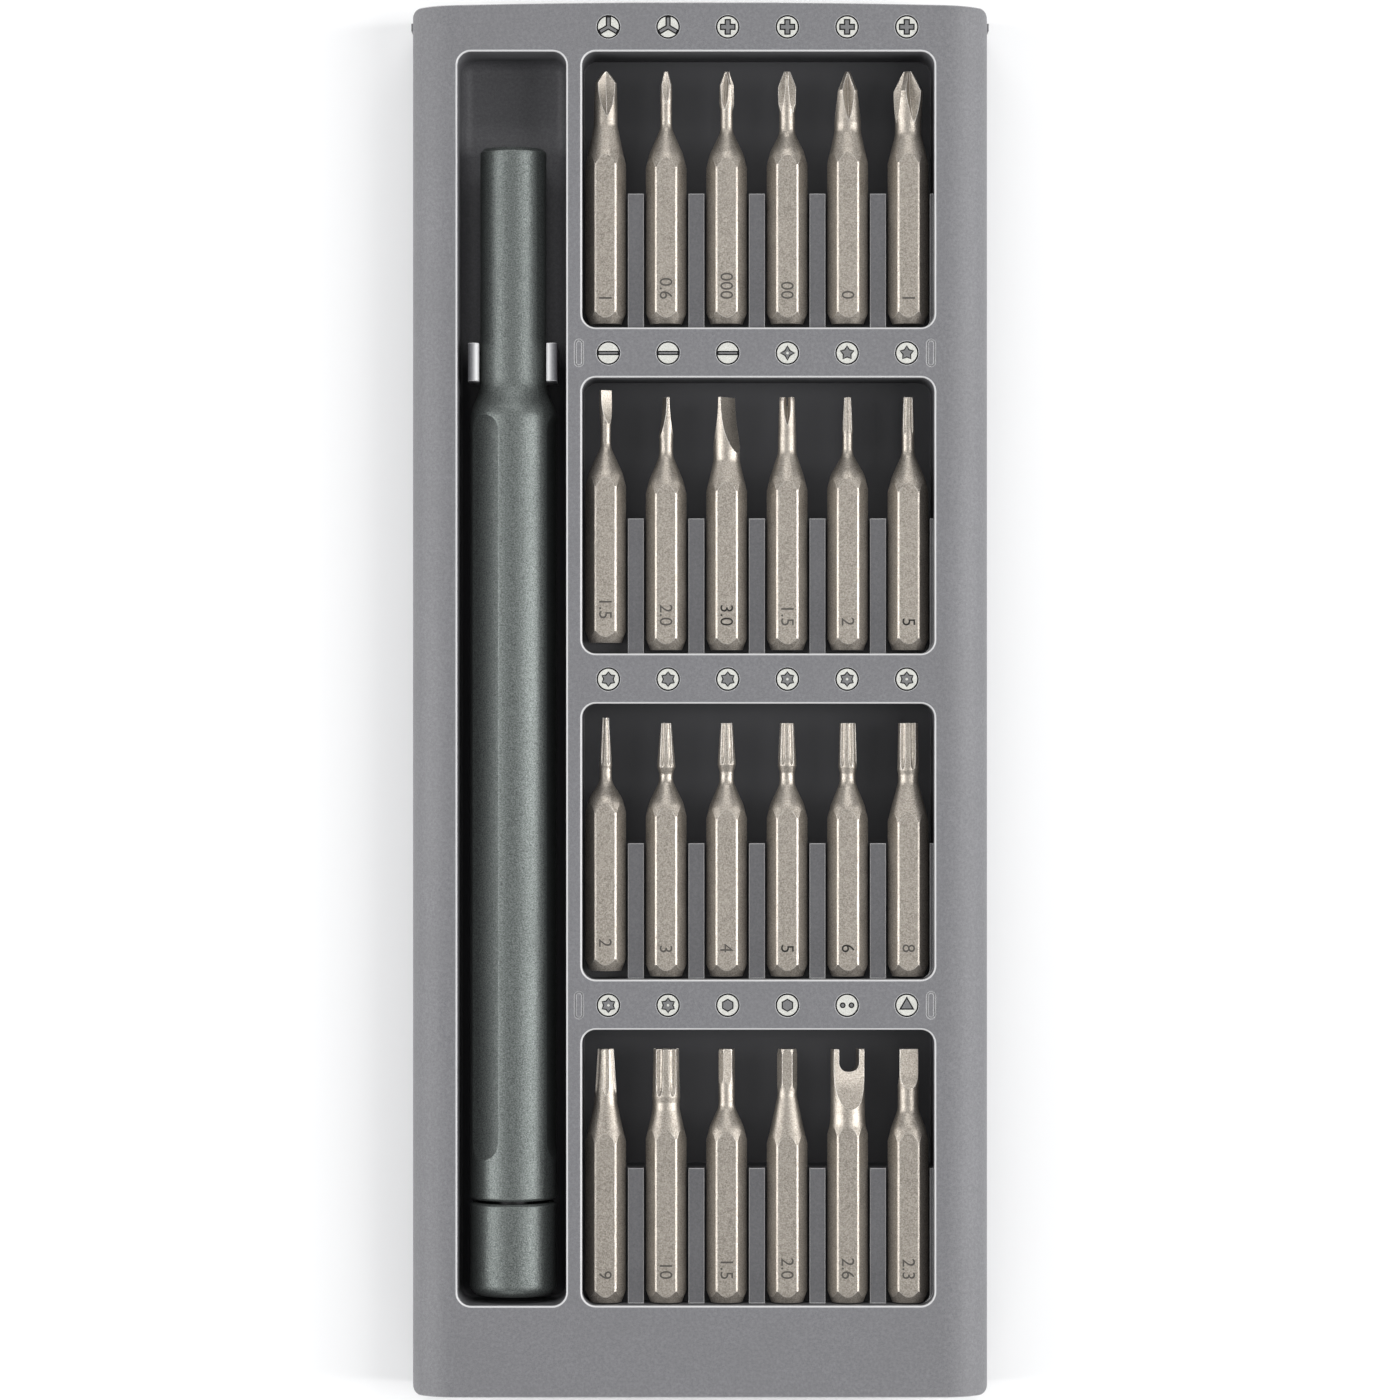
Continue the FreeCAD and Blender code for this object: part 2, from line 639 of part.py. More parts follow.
def make_neck_clip():
    clip = new_body("neck_clip", "Sizes.driver_x", "Sizes.clip_y", "0")
    section = new_sketch(clip, "section", "XZ_Plane")
    inner = "(Sizes.neck_diameter / 2 + Sizes.clip_gap)"
    outer = f"({inner} + Sizes.clip_finger)"
    radius = "Sizes.clip_finger_radius"
    add_outline(section, [
        (f"-{outer}", "Sizes.pocket_floor"),
        (outer, "Sizes.pocket_floor"),
        (outer, "Sizes.clip_finger_top", radius),
        (inner, "Sizes.clip_finger_top", radius),
        (inner, "Sizes.clip_base_top"),
        (f"-{inner}", "Sizes.clip_base_top"),
        (f"-{inner}", "Sizes.clip_finger_top", radius),
        (f"-{outer}", "Sizes.clip_finger_top", radius),
    ])
    pad(clip, "clip_length", section, "Sizes.clip_length", symmetric=True)


# Driver: its pieces share one frame with the nose at the origin and the cap towards -Y.

def driver_body(name, turn_about_y="0"):
    return new_body(name, "Sizes.driver_x", "Sizes.driver_nose_y", "Sizes.driver_axis_z", turn_about_y)


def turned_piece(name, corners, turn_about_y="0"):
    """Turn a driver piece from (radius, distance from the nose) corners, anticlockwise; a third value
    rounds a corner."""
    body = driver_body(name, turn_about_y)
    profile = new_sketch(body, "profile", "XY_Plane")
    add_outline(profile, [(radius, f"-({distance})", *rounding) for radius, distance, *rounding in corners])
    turned(body, "turned", profile)
    return body


def make_driver_barrel():
    bore = "Sizes.socket_diameter / 2"
    magnet_bore = "Sizes.socket_magnet_diameter / 2 + Sizes.inner_gap"
    magnet_end = "Sizes.socket_depth + Sizes.socket_magnet_length"
    spindle = "Sizes.spindle_diameter / 2 + Sizes.inner_gap"
    spindle_start = "Sizes.barrel_length - Sizes.spindle_depth"
    neck = "Sizes.neck_diameter / 2"
    grip = "Sizes.grip_diameter / 2"
    barrel = turned_piece("driver_barrel", [
        ("0", magnet_end),
        ("0", spindle_start),
        (spindle, spindle_start),
        (spindle, "Sizes.barrel_length"),
        (f"{grip} - Sizes.grip_edge", "Sizes.barrel_length"),
        (grip, "Sizes.barrel_length - Sizes.grip_edge"),
        (grip, "Sizes.grip_start", "Sizes.grip_fillet"),
        (neck, "Sizes.neck_length", "Sizes.neck_fillet"),
        (neck, "Sizes.nose_chamfer"),
        (f"{neck} - Sizes.nose_chamfer", "0"),
        (bore, "0"),
        (bore, "Sizes.socket_depth"),
        (magnet_bore, "Sizes.socket_depth"),
        (magnet_bore, magnet_end),
    ], "Sizes.flat_turn")
    cut_grip_flats(barrel)


def cut_grip_flats(barrel):
    """Mill three long flats, each with a cutter that leaves a rounded end."""
    side = new_sketch(barrel, "flat_side", "YZ_Plane")
    grip = number(side, "Sizes.grip_diameter / 2")
    depth = number(side, "Sizes.flat_depth")
    radius = number(side, "Sizes.flat_runout")
    first = -number(side, "Sizes.flat_end")
    last = -number(side, "Sizes.flat_start")
    floor = grip - depth
    above = grip + depth
    runout = (radius ** 2 - (radius - 2 * depth) ** 2) ** 0.5
    middle = runout / 2
    rise = radius - (radius ** 2 - middle ** 2) ** 0.5

    pieces = [
        Part.LineSegment(Vector(first + runout, floor, 0), Vector(last - runout, floor, 0)),
        Part.Arc(Vector(last - runout, floor, 0), Vector(last - middle, floor + rise, 0),
                 Vector(last, above, 0)),
        Part.LineSegment(Vector(last, above, 0), Vector(first, above, 0)),
        Part.Arc(Vector(first, above, 0), Vector(first + middle, floor + rise, 0),
                 Vector(first + runout, floor, 0)),
    ]
    ring = [side.addGeometry(piece) for piece in pieces]
    for index, piece in enumerate(ring):
        side.addConstraint(Sketcher.Constraint("Coincident", ring[index - 1], 2, piece, 1))
    low = "Sizes.grip_diameter / 2 - Sizes.flat_depth"
    high = "Sizes.grip_diameter / 2 + Sizes.flat_depth"
    span = "sqrt(pow(Sizes.flat_runout; 2) - pow(Sizes.flat_runout - 2 * Sizes.flat_depth; 2))"
    pin(side, ring[0], 1, f"-Sizes.flat_end + {span}", low)
    pin(side, ring[0], 2, f"-Sizes.flat_start - {span}", low)
    pin(side, ring[2], 1, "-Sizes.flat_start", high)
    pin(side, ring[2], 2, "-Sizes.flat_end", high)
    for corner in (ring[1], ring[3]):
        bind(side, Sketcher.Constraint("Radius", corner, radius), "Sizes.flat_runout")
    flat = pocket(barrel, "flat", side, "Sizes.grip_diameter", symmetric=True)
    around = new_sketch(barrel, "flat_axis", "XZ_Plane")
    repeat_around(barrel, "flats", flat, around, 3)


def make_bit_socket():
    outside = "Sizes.socket_diameter / 2 - Sizes.inner_gap"
    mouth = "Sizes.socket_across_flats / sqrt(3) + Sizes.socket_mouth"
    socket = turned_piece("bit_socket", [
        ("0", "Sizes.socket_depth"),
        (outside, "Sizes.socket_depth"),
        (outside, "Sizes.socket_recess"),
        (mouth, "Sizes.socket_recess"),
        ("0", f"{mouth} + Sizes.socket_recess"),
    ])
    hexagon = new_sketch(socket, "hexagon", "XZ_Plane")
    add_outline(hexagon, polygon_corners(6, "Sizes.socket_across_flats / sqrt(3)"))
    pocket(socket, "hexagon_cut", hexagon, "Sizes.socket_depth", reverse=True)


def make_socket_magnet():
    radius = "Sizes.socket_magnet_diameter / 2"
    start = "Sizes.socket_depth + Sizes.inner_gap"
    end = "Sizes.socket_depth + Sizes.socket_magnet_length - Sizes.inner_gap"
    turned_piece("socket_magnet", [("0", end), (radius, end), (radius, start), ("0", start)])


def make_cap_spindle():
    """Headed pin: pressed into the barrel, it carries the bearing and keeps the cap on."""
    shaft = "Sizes.spindle_diameter / 2"
    head = "Sizes.spindle_head_diameter / 2"
    start = "Sizes.barrel_length - Sizes.spindle_depth + Sizes.inner_gap"
    head_start = "Sizes.bearing_start + Sizes.bearing_length"
    end = f"{head_start} + Sizes.spindle_head_length"
    turned_piece("cap_spindle", [
        ("0", end),
        (head, end),
        (head, head_start),
        (shaft, head_start),
        (shaft, start),
        ("0", start),
    ])


def make_bearing_spacer():
    inside = "Sizes.spindle_diameter / 2 + Sizes.inner_gap"
    outside = "Sizes.bearing_inner_diameter / 2"
    make_ring("bearing_spacer", inside, outside, "Sizes.barrel_length", "Sizes.bearing_start")


def make_ring(name, inside, outside, start, end):
    return turned_piece(name, [(inside, end), (outside, end), (outside, start), (inside, start)])


def make_bearing():
    """Two grooved rings and the balls between them."""
    start = "Sizes.bearing_start"
    end = "Sizes.bearing_start + Sizes.bearing_length"
    inner = make_ring("bearing_inner_ring", "Sizes.spindle_diameter / 2 + Sizes.inner_gap",
                      "Sizes.bearing_inner_diameter / 2", start, end)
    outer = make_ring("bearing_outer_ring", "Sizes.bearing_outer_bore / 2",
                      "Sizes.cap_bore_diameter / 2 - Sizes.inner_gap", start, end)
    middle = "-(Sizes.bearing_start + Sizes.bearing_length / 2)"
    for ring in (inner, outer):
        groove = new_sketch(ring, "groove", "XY_Plane")
        add_circle(groove, "Sizes.ball_pitch_diameter / 2", middle,
                   "Sizes.ball_diameter / 2 + Sizes.ball_groove_gap")
        before = ring.Shape.Volume
        cut = turned(ring, "groove_cut", groove, "Groove")
        check_cut(cut, before)

    balls = doc.addObject("Part::Feature", "bearing_balls")
    balls.Label = "bearing_balls"
    count = 8
    radius = SIZES["ball_diameter"] / 2
    pitch = SIZES["ball_pitch_diameter"] / 2
    step = Rotation(Vector(0, 1, 0), 360 / count)
    place = Vector(pitch, -(SIZES["bearing_start"] + SIZES["bearing_length"] / 2), 0)
    spheres = []
    for index in range(count):
        spheres.append(Part.makeSphere(radius, place))
        place = step.multVec(place)
    balls.Shape = Part.makeCompound(spheres)
    balls.Placement = Placement(
        Vector(SIZES["driver_x"], SIZES["driver_nose_y"], SIZES["driver_axis_z"]), Rotation())
    nodes.append(balls)


def make_spin_cap():
    grip = "Sizes.grip_diameter / 2"
    bore = "Sizes.cap_bore_diameter / 2"
    turned_piece("spin_cap", [
        ("0", "Sizes.driver_length"),
        (grip, "Sizes.driver_length", "Sizes.cap_end_radius"),
        (grip, "Sizes.cap_start + Sizes.grip_edge"),
        (f"{grip} - Sizes.grip_edge", "Sizes.cap_start"),
        (bore, "Sizes.cap_start"),
        (bore, "Sizes.driver_length - Sizes.cap_end_wall"),
        ("0", "Sizes.driver_length - Sizes.cap_end_wall"),
    ])


# Bits: each has its tip at its own origin and its shank towards -Y, with one flat of the hexagon facing up.

def make_bit(index):
    name, kind = BITS[index][:2]
    row, column = divmod(index, BITS_PER_ROW)
    sizes = f"Bits.{name}_"
    body = new_body(f"bit_{name}", f"Sizes.first_bit_x + {column} * Sizes.bit_pitch",
                    f"Sizes.first_tip_y - {row} * Sizes.bit_row_pitch + {sizes}lift",
                    "Sizes.slot_floor + Sizes.bit_across_flats / 2")

    bar = new_sketch(body, "bar", "XZ_Plane")
    add_outline(bar, polygon_corners(6, "Sizes.bit_across_flats / sqrt(3)"))
    pad(body, "bar_length", bar, "Sizes.bit_length")
    turn_down(body, sizes)
    TIP_MAKERS[kind](body, sizes)


def turn_down(body, sizes):
    """Turn the hexagonal bar down to its tail chamfer, cone, neck and tip."""
    corner = "Sizes.bit_across_corners / 2"
    flat = "Sizes.bit_across_flats / 2"
    neck = f"{sizes}neck / 2"
    outside = "Sizes.turning_clearance"
    step = f"min(Sizes.arch_step; 0.35 * ({flat} - {neck}))"
    arch_start = f"{sizes}hexagon_start - {step} / Sizes.arch_slope"
    cone_end = f"{sizes}hexagon_start + ({corner} - {flat}) / Sizes.arch_slope"
    profile = new_sketch(body, "turning", "XY_Plane")
    add_outline(profile, [
        ("Sizes.bit_tail_diameter / 2", "-Sizes.bit_length"),
        (outside, "-Sizes.bit_length"),
        (outside, "0"),
        (f"{sizes}tip / 2", "0"),
        (f"{sizes}shoulder / 2", f"-{sizes}shoulder_at"),
        (f"{sizes}shoulder / 2", f"-{sizes}land_end"),
        (neck, f"-{sizes}neck_start", "Sizes.neck_shoulder_radius"),
        (neck, f"-{sizes}neck_end", "Sizes.neck_radius"),
        (f"{flat} - {step}", f"-({arch_start})", "Sizes.arch_radius"),
        (corner, f"-({cone_end})"),
        (corner, "-Sizes.bit_length + Sizes.bit_tail_length"),
    ])
    before = body.Shape.Volume
    cut = turned(body, "turned", profile, "Groove")
    check_cut(cut, before)


def turn_sketch(sketch, axis, angle, x="0", y="0", z="0"):
    """Turn a sketch on its plane about one of its own axes, then move its origin."""
    sketch.AttachmentOffset = Placement(Vector(), Rotation(axis, 1))
    sketch.setExpression("AttachmentOffset.Rotation.Angle", angle)
    sketch.setExpression("AttachmentOffset.Base.x", x)
    sketch.setExpression("AttachmentOffset.Base.y", y)
    sketch.setExpression("AttachmentOffset.Base.z", z)
    doc.recompute()


def mill(body, sizes, section, reach, straight, wheel, count, lean="0"):
    """Mill one section straight in from the tip, let it run out along a wheel, and repeat it around the bit.

    section(sketch, shift) draws what the wheel's rim cuts, facing +X and starting at reach from the axis;
    lean is how much further from the axis the straight stretch starts out than it ends, negative at the tip.
    """
    angle = f"90 - {sizes}turn"
    entry = new_sketch(body, "entry", "XZ_Plane")
    turn_sketch(entry, Vector(0, 0, 1), angle)
    section(entry, f"-({lean})")
    before = body.Shape.Volume
    stretch = body.newObject("PartDesign::Pocket", f"{body.Name}_stretch")
    stretch.Profile = entry
    stretch.UseCustomVector = True
    stretch.setExpression("Direction.x", f"({lean}) / ({straight}) * cos({angle})")
    stretch.setExpression("Direction.y", "-1")
    stretch.setExpression("Direction.z", f"({lean}) / ({straight}) * sin({angle})")
    stretch.AlongSketchNormal = True
    stretch.setExpression("Length", straight)
    doc.recompute()
    check_cut(stretch, before)

    rim = new_sketch(body, "rim", "XZ_Plane")
    hub = f"({wheel} + {reach})"
    turn_sketch(rim, Vector(0, 0, 1), angle, f"{hub} * cos({angle})", f"{hub} * sin({angle})", straight)
    section(rim, f"-{hub}")
    before = body.Shape.Volume
    runout = turned(body, "runout", rim, "Groove")
    check_cut(runout, before)

    pattern = body.newObject("PartDesign::PolarPattern", f"{body.Name}_around")
    pattern.Originals = [stretch, runout]
    pattern.Axis = (entry, ["N_Axis"])
    pattern.Angle = 360
    pattern.Occurrences = count
    body.Tip = pattern
    doc.recompute()


def vee(reach, half_angle):
    """A V whose point is at reach, opening outwards."""
    depth = "Sizes.turning_clearance"

    def draw(sketch, shift):
        add_outline(sketch, [
            (f"{reach} + {shift}", "0"),
            (f"{reach} + {shift} + {depth} * cos({half_angle})", f"-{depth} * sin({half_angle})"),
            (f"{reach} + {shift} + {depth} * cos({half_angle})", f"{depth} * sin({half_angle})"),
        ])
    return draw


def flat(reach):
    """A straight face at reach, wider than the bit."""
    def draw(sketch, shift):
        add_rectangle(sketch, f"{reach} + {shift}", "-Sizes.turning_clearance", "Sizes.turning_clearance",
                      "2 * Sizes.turning_clearance")
    return draw


def round_groove(middle, radius):
    def draw(sketch, shift):
        add_circle(sketch, f"{middle} + {shift}", "0", radius)
    return draw


def grind_wings(body, sizes, wings, wing, wheel):
    """Leave straight wings between V flutes that run out on the neck."""
    half_angle = 180 / wings
    reach = f"({wing} * {sizes}shoulder / 2 / sin({half_angle}))"
    runout = f"sqrt(2 * {wheel} * ({sizes}neck / 2 - {reach}))"
    mill(body, sizes, vee(reach, half_angle), reach, f"({sizes}neck_start - {runout})", wheel, wings)


def grind_cross(body, sizes):
    grind_wings(body, sizes, 4, "Tips.flute_wing", "Tips.flute_wheel")


def grind_tri_wing(body, sizes):
    grind_wings(body, sizes, 3, "Tips.flute_wing", "Tips.flute_wheel")


def grind_crown(body, sizes):
    """Cut a steep notch between each pair of prongs."""
    mill(body, sizes, vee("Tips.crown_reach", "Tips.crown_angle"), "Tips.crown_reach", "Tips.crown_straight",
         "Tips.crown_wheel", 4)
    drill_pin_hole(body, sizes)


def grind_slot(body, sizes):
    reach = "Tips.blade_half"
    mill(body, sizes, flat(reach), reach, "Tips.blade_straight", "Tips.blade_wheel", 2)


def grind_lobes(body, sizes, count):
    """Mill round grooves between the lobes, closer to the axis where the tip is thinner."""
    groove = f"(Tips.lobe_groove * {sizes}shoulder)"
    middle = f"(Tips.lobe_middle * {sizes}shoulder / 2)"
    reach = f"({middle} - {groove})"
    runout = f"sqrt(2 * Tips.lobe_wheel * ({sizes}shoulder / 2 - {reach}))"
    lean = f"({reach} * (1 - {sizes}tip / {sizes}shoulder))"
    mill(body, sizes, round_groove(middle, groove), reach, f"({sizes}land_end - {runout})",
         "Tips.lobe_wheel", count, lean)


def grind_five_lobe(body, sizes):
    grind_lobes(body, sizes, 5)


def grind_six_lobe(body, sizes):
    grind_lobes(body, sizes, 6)


def grind_six_lobe_pin(body, sizes):
    grind_lobes(body, sizes, 6)
    drill_pin_hole(body, sizes)


def drill_pin_hole(body, sizes):
    hole = new_sketch(body, "pin_hole", "XZ_Plane")
    add_circle(hole, "0", "0", f"Tips.pin_hole * {sizes}tip / 2")
    pocket(body, "pin_hole_cut", hole, "Tips.pin_hole_depth", reverse=True)


def grind_faces(body, sizes, reach, wheel, count):
    """Leave a prism with count faces that run out on the neck."""
    runout = f"sqrt(2 * {wheel} * ({sizes}neck / 2 - {reach}))"
    mill(body, sizes, flat(reach), reach, f"({sizes}neck_start - {runout})", wheel, count)


def grind_hexagon(body, sizes):
    grind_faces(body, sizes, f"(Tips.hexagon_face * {sizes}shoulder / 2)", "Tips.face_wheel", 6)


def grind_triangle(body, sizes):
    grind_faces(body, sizes, f"(Tips.triangle_face * {sizes}shoulder / 2)", "Tips.triangle_wheel", 3)


def grind_fork(body, sizes):
    """Hollow both faces and cut a round-cornered gap between the two prongs."""
    grind_faces(body, sizes, "Tips.fork_half", "Tips.fork_wheel", 2)
    gap = new_sketch(body, "gap", "XY_Plane")
    turn_sketch(gap, Vector(0, 1, 0), f"{sizes}turn")
    half = "Tips.fork_gap / 2"
    add_outline(gap, [
        (f"-{half}", "-Tips.fork_gap_depth", "Tips.fork_gap_radius"),
        (half, "-Tips.fork_gap_depth", "Tips.fork_gap_radius"),
        (half, "1"),
        (f"-{half}", "1"),
    ])
    pocket(body, "gap_cut", gap, "2 * Sizes.turning_clearance", symmetric=True)


TIP_MAKERS = {
    "cross": grind_cross,
    "tri_wing": grind_tri_wing,
    "slot": grind_slot,
    "crown": grind_crown,
    "five_lobe": grind_five_lobe,
    "six_lobe": grind_six_lobe,
    "six_lobe_pin": grind_six_lobe_pin,
    "hexagon": grind_hexagon,
    "triangle": grind_triangle,
    "fork": grind_fork,
}


# Build, check and write

def check_document():
    for item in doc.Objects:
        if "Invalid" in item.State or "Error" in item.State:
            raise RuntimeError(f"{item.Name} failed: {item.State}")
    for node in nodes:
        if node.Shape.isNull() or not node.Shape.isValid():
            raise RuntimeError(f"{node.Label} has no valid shape")


make_tray_shell()
make_base_cover()
for magnet_row in range(ROWS):
    make_rack_magnet(magnet_row)
make_neck_clip()
make_driver_barrel()
make_bit_socket()
make_socket_magnet()
make_cap_spindle()
make_bearing_spacer()
make_bearing()
make_spin_cap()
for bit_index in range(len(BITS)):
    make_bit(bit_index)

doc.recompute()
check_document()
for node in nodes:
    node.Shape.exportStep(f"parts/{node.Label}.step")
print(f"{len(nodes)} sub-parts written")
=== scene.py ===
import json
import math

import bmesh
import bpy
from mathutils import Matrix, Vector


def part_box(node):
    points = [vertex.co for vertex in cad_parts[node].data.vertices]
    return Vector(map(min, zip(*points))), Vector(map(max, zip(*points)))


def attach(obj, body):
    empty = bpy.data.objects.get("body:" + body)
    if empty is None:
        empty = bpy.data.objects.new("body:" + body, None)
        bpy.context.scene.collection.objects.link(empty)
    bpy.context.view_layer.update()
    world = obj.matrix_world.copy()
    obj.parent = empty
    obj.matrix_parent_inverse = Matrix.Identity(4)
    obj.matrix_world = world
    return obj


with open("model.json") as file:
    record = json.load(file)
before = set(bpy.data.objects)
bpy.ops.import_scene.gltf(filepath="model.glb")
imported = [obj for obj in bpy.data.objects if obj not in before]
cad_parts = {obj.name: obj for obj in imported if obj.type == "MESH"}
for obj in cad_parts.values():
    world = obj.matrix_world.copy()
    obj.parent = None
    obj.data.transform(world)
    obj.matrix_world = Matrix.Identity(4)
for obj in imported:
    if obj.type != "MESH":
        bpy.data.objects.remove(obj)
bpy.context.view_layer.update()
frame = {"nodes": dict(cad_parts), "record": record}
NODES = frame["nodes"]
MM = 0.001
TRAY_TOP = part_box("tray_shell")[1].z

# The camera's height above the tray and the side of the square it sees there, in metres.
CAMERA_HEIGHT = 0.6
PICTURE_SIDE = 0.15435
SENSOR_WIDTH = 36.0

# The soft boxes around the tray: where each stands, its tilt from straight up in degrees, its distance
# from the tray and its two sides in metres, and its power in watts.
SOFT_BOXES = {
    "right_box": ((1, 0), 55, 0.95, (0.34, 1.3), 6.6),
    "right_low_box": ((1, 0), 78, 0.95, (0.3, 1.3), 5.4),
    "left_box": ((-1, 0), 25, 1.0, (0.24, 1.3), 1.4),
    "left_low_box": ((-1, 0), 72, 0.95, (0.4, 1.3), 9.0),
    "nose_box": ((0, 1), 44, 1.0, (0.9, 0.26), 2.9),
    "tail_box": ((0, -1), 66, 1.0, (0.9, 0.3), 1.6),
}
SURROUND_COLOUR = (0.96, 0.975, 1.0, 1)
SURROUND_STRENGTH = 0.3
FLOOR_SIDE = 4.0
FLOOR_DROP = 0.00005
FLOOR_COLOUR = (0.93, 0.93, 0.93, 1)

# Where the tray's painted shade and painted highlights change: the shade in its cores, the highlights on its
# rims and edges. Each pair is a fade from its first value to its second: along an axis in metres, or for
# faces in the upward part of their normal.
CORES_ACROSS = (0.0290, 0.0286)
CORES_ALONG = (0.0745, 0.0740)
CORES_HEIGHT = (0.0138, 0.0070)
POCKET_X = (-0.0140, -0.0142)
POCKET_NOSE_Y = (0.037, 0.040)
WALL_FACES = (0.6, 0.3)
WORN_HIGHLIT_EDGES_HEIGHT = (0.0095, 0.0112)
RIM_ACROSS = (0.0272, 0.0268)
RIM_HEIGHT = (0.0132, 0.0135)
RIM_BELOW_TOP_FACES = (0.95, 0.86)
RIM_ABOVE_WALL_FACES = (0.15, 0.4)
MOTTLED_HEIGHT = 0.0004

# How far from the driver's axis the clip's fingers get a painted highlight, in metres.
FINGER_HIGHLIGHT_REACH = (0.0045, 0.0040)

# The signs on the tray's strips, in millimetres: the first one's place, the steps between them, their radii,
# the outer one a dark ring of painted shadow round the sign's recess, and the dark outline around each
# symbol.
SIGN_X = -10.1
SIGN_Y = 74.22
SIGN_PITCH = 6.58
ROW_PITCH = 35.96
SHADOW_RING_RADIUS = 1.3
DISC_RADIUS = 1.14
DOT_RADIUS = 0.14
OUTLINE = 0.15

# The layers of the signs, each with its lowest and highest level in millimetres: a ring of painted shadow,
# then printed ones.
SIGN_LAYERS = {
    "sign_shadow_rings": (13.903, 13.909),
    "sign_discs": (13.911, 13.935),
    "sign_outlines": (13.937, 13.947),
    "sign_symbols": (13.949, 13.959),
    "sign_dots": (13.961, 13.971),
}

# The size marks on the shanks, in millimetres: the height of a figure, the gap to the bit's tail end, and how
# far the middle of the mark's thickness is above the flat.
MARK_HEIGHT = 1.4
MARK_END_GAP = 2.7
MARK_LEVEL = 0.006
MARK_HALF_THICKNESS = 0.004
TEXT_EXTRUSION = 0.01

# The bits, row by row from the nose end: node, sign above the bit and size mark on its shank.
BITS_PER_ROW = 6
BITS = (
    ("bit_tri_wing_1", "tri_wing", "1"),
    ("bit_tri_wing_0_6", "tri_wing", "0.6"),
    ("bit_cross_000", "cross", "000"),
    ("bit_cross_00", "cross", "00"),
    ("bit_cross_0", "cross", "0"),
    ("bit_cross_1", "cross", "1"),
    ("bit_slot_1_5", "bar", "1.5"),
    ("bit_slot_2_0", "bar", "2.0"),
    ("bit_slot_3_0", "bar", "3.0"),
    ("bit_crown_1_5", "small_cross", "1.5"),
    ("bit_five_lobe_2", "five_star", "2"),
    ("bit_five_lobe_5", "five_star", "5"),
    ("bit_six_lobe_2", "six_star", "2"),
    ("bit_six_lobe_3", "six_star", "3"),
    ("bit_six_lobe_4", "six_star", "4"),
    ("bit_six_lobe_pin_5", "six_star_pin", "5"),
    ("bit_six_lobe_pin_6", "six_star_pin", "6"),
    ("bit_six_lobe_pin_8", "six_star_pin", "8"),
    ("bit_six_lobe_pin_9", "six_star_pin", "9"),
    ("bit_six_lobe_pin_10", "six_star_pin", "10"),
    ("bit_hexagon_1_5", "hexagon", "1.5"),
    ("bit_hexagon_2_0", "hexagon", "2.0"),
    ("bit_fork_2_6", "two_dots", "2.6"),
    ("bit_triangle_2_3", "triangle", "2.3"),
)
DARKER_MARKS = ("bit_slot_3_0", "bit_five_lobe_5", "bit_six_lobe_pin_5", "bit_six_lobe_pin_6")
DOTTED_SIGNS = ("six_star_pin", "small_cross")


# Camera, floor and lights

def make_camera():
    """Straight down on the middle of the tray, with the driver's nose towards the top of the picture."""
    data = bpy.data.cameras.new("camera")
    data.sensor_width = SENSOR_WIDTH
    data.lens = SENSOR_WIDTH * CAMERA_HEIGHT / PICTURE_SIDE
    data.dof.use_dof = False
    data.clip_start = 0.01
    data.clip_end = 20.0
    camera = bpy.data.objects.new("camera", data)
    camera.location = (0.0, 0.0, TRAY_TOP + CAMERA_HEIGHT)
    bpy.context.scene.collection.objects.link(camera)
    bpy.context.scene.camera = camera
    bpy.context.scene.view_settings.view_transform = "Standard"


def make_floor():
    bpy.ops.mesh.primitive_plane_add(size=FLOOR_SIDE, location=(0, 0, -FLOOR_DROP))
    floor = bpy.context.object
    floor.name = "floor"
    tree = Nodes("floor_paper")
    shader = tree.add("ShaderNodeBsdfPrincipled", Base_Color=FLOOR_COLOUR, Roughness=0.9)
    floor.data.materials.append(tree.finish(shader))


def make_lights():
    """Soft boxes to the left and right of the camera and past both ends, with a weak even surround."""
    world = bpy.data.worlds.new("studio")
    bpy.context.scene.world = world
    world.use_nodes = True
    surround = world.node_tree.nodes["Background"]
    surround.inputs["Color"].default_value = SURROUND_COLOUR
    surround.inputs["Strength"].default_value = SURROUND_STRENGTH
    for name, (side, tilt, distance, size, power) in SOFT_BOXES.items():
        reach = distance * math.sin(math.radians(tilt))
        height = TRAY_TOP + distance * math.cos(math.radians(tilt))
        data = bpy.data.lights.new(name, "AREA")
        data.shape = "RECTANGLE"
        data.size, data.size_y = size
        data.energy = power
        light = bpy.data.objects.new(name, data)
        light.location = (side[0] * reach, side[1] * reach, height)
        aim = Vector((0, 0, TRAY_TOP)) - light.location
        light.rotation_euler = aim.to_track_quat("-Z", "Y").to_euler()
        bpy.context.scene.collection.objects.link(light)


# Node materials

